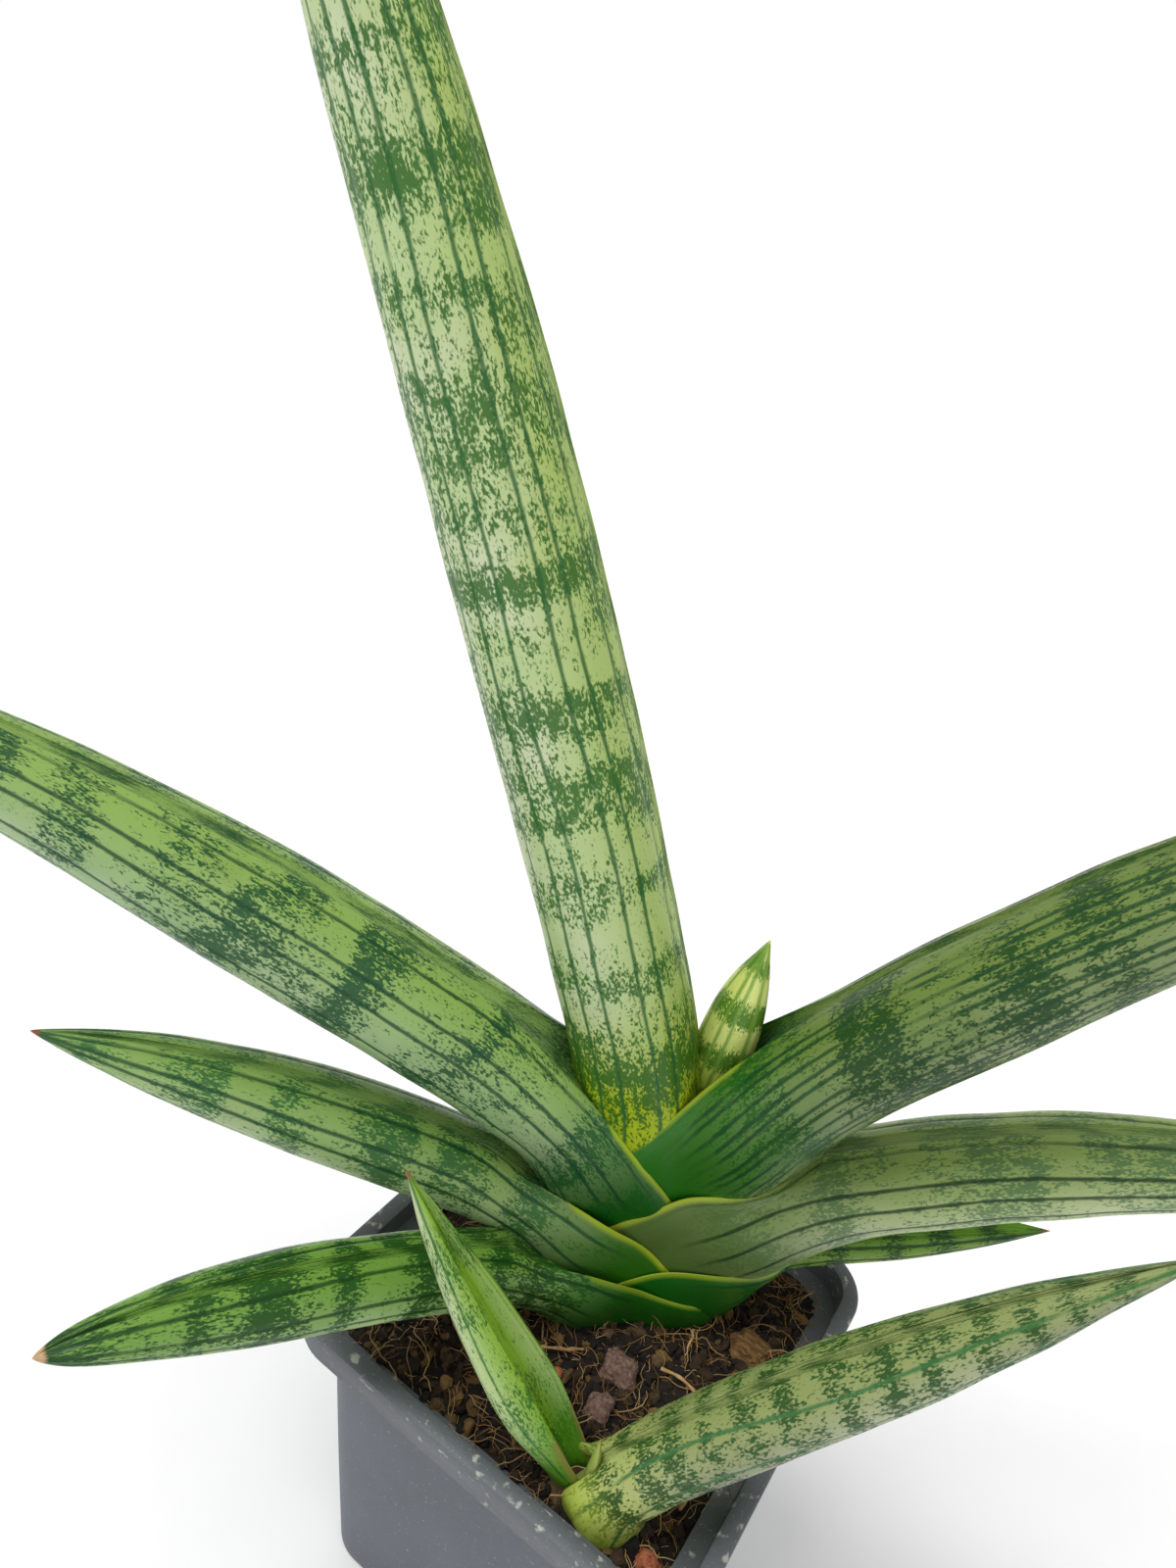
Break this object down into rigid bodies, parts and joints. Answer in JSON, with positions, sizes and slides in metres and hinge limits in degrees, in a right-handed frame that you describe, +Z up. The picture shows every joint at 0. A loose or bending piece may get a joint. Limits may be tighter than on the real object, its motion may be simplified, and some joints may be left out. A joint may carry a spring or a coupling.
{
  "type": "potted snake plant",
  "caption": "Snake plant with a fan of thick rounded banded leaves and a young offset, growing in soil in a small square tapered nursery pot.",
  "frame": {"origin": "middle of the flat underside of the pot", "axes": "+Z up out of the pot; the pot's sides run along X and Y; the fan of leaves stands behind the middle at +Y and the young offset grows in the corner at +X -Y"},
  "size_m": [0.2746, 0.1494, 0.3633],
  "materials": {
    "pot_plastic": "satin",
    "potting_mix": "matte",
    "rhizome_skin": "matte",
    "leaf_young": "satin",
    "leaf_centre": "satin",
    "leaf_dusky": "satin",
    "leaf_green": "satin",
    "leaf_deep_green": "satin",
    "pup_leaf_skin": "satin",
    "pumice_stone": "matte",
    "bark_chip": "matte",
    "brick_bit": "matte",
    "root_fibre": "matte"
  },
  "bodies": {
    "root": {"pot": "pot_plastic", "soil": "potting_mix", "rhizome": "rhizome_skin", "leaf_young_spear": "leaf_young", "leaf_tall_centre": "leaf_centre", "leaf_upper_right": "leaf_dusky", "leaf_upper_left": "leaf_green", "leaf_middle_right": "leaf_dusky", "leaf_middle_left": "leaf_green", "leaf_low_right": "leaf_deep_green", "leaf_low_left": "leaf_deep_green", "pup_spear": "pup_leaf_skin", "pup_leaf_left": "pup_leaf_skin", "pup_leaf_right": "pup_leaf_skin", "pumice_by_fan": "pumice_stone", "pumice_middle": "pumice_stone", "bark_chip_right": "bark_chip", "bark_chip_by_rim": "bark_chip", "bark_chip_left": "bark_chip", "brick_bit_front": "brick_bit", "brick_bit_middle": "brick_bit", "loose_root_by_pup": "root_fibre", "loose_root_left": "root_fibre", "loose_root_middle": "root_fibre"}
  },
  "joints": []
}
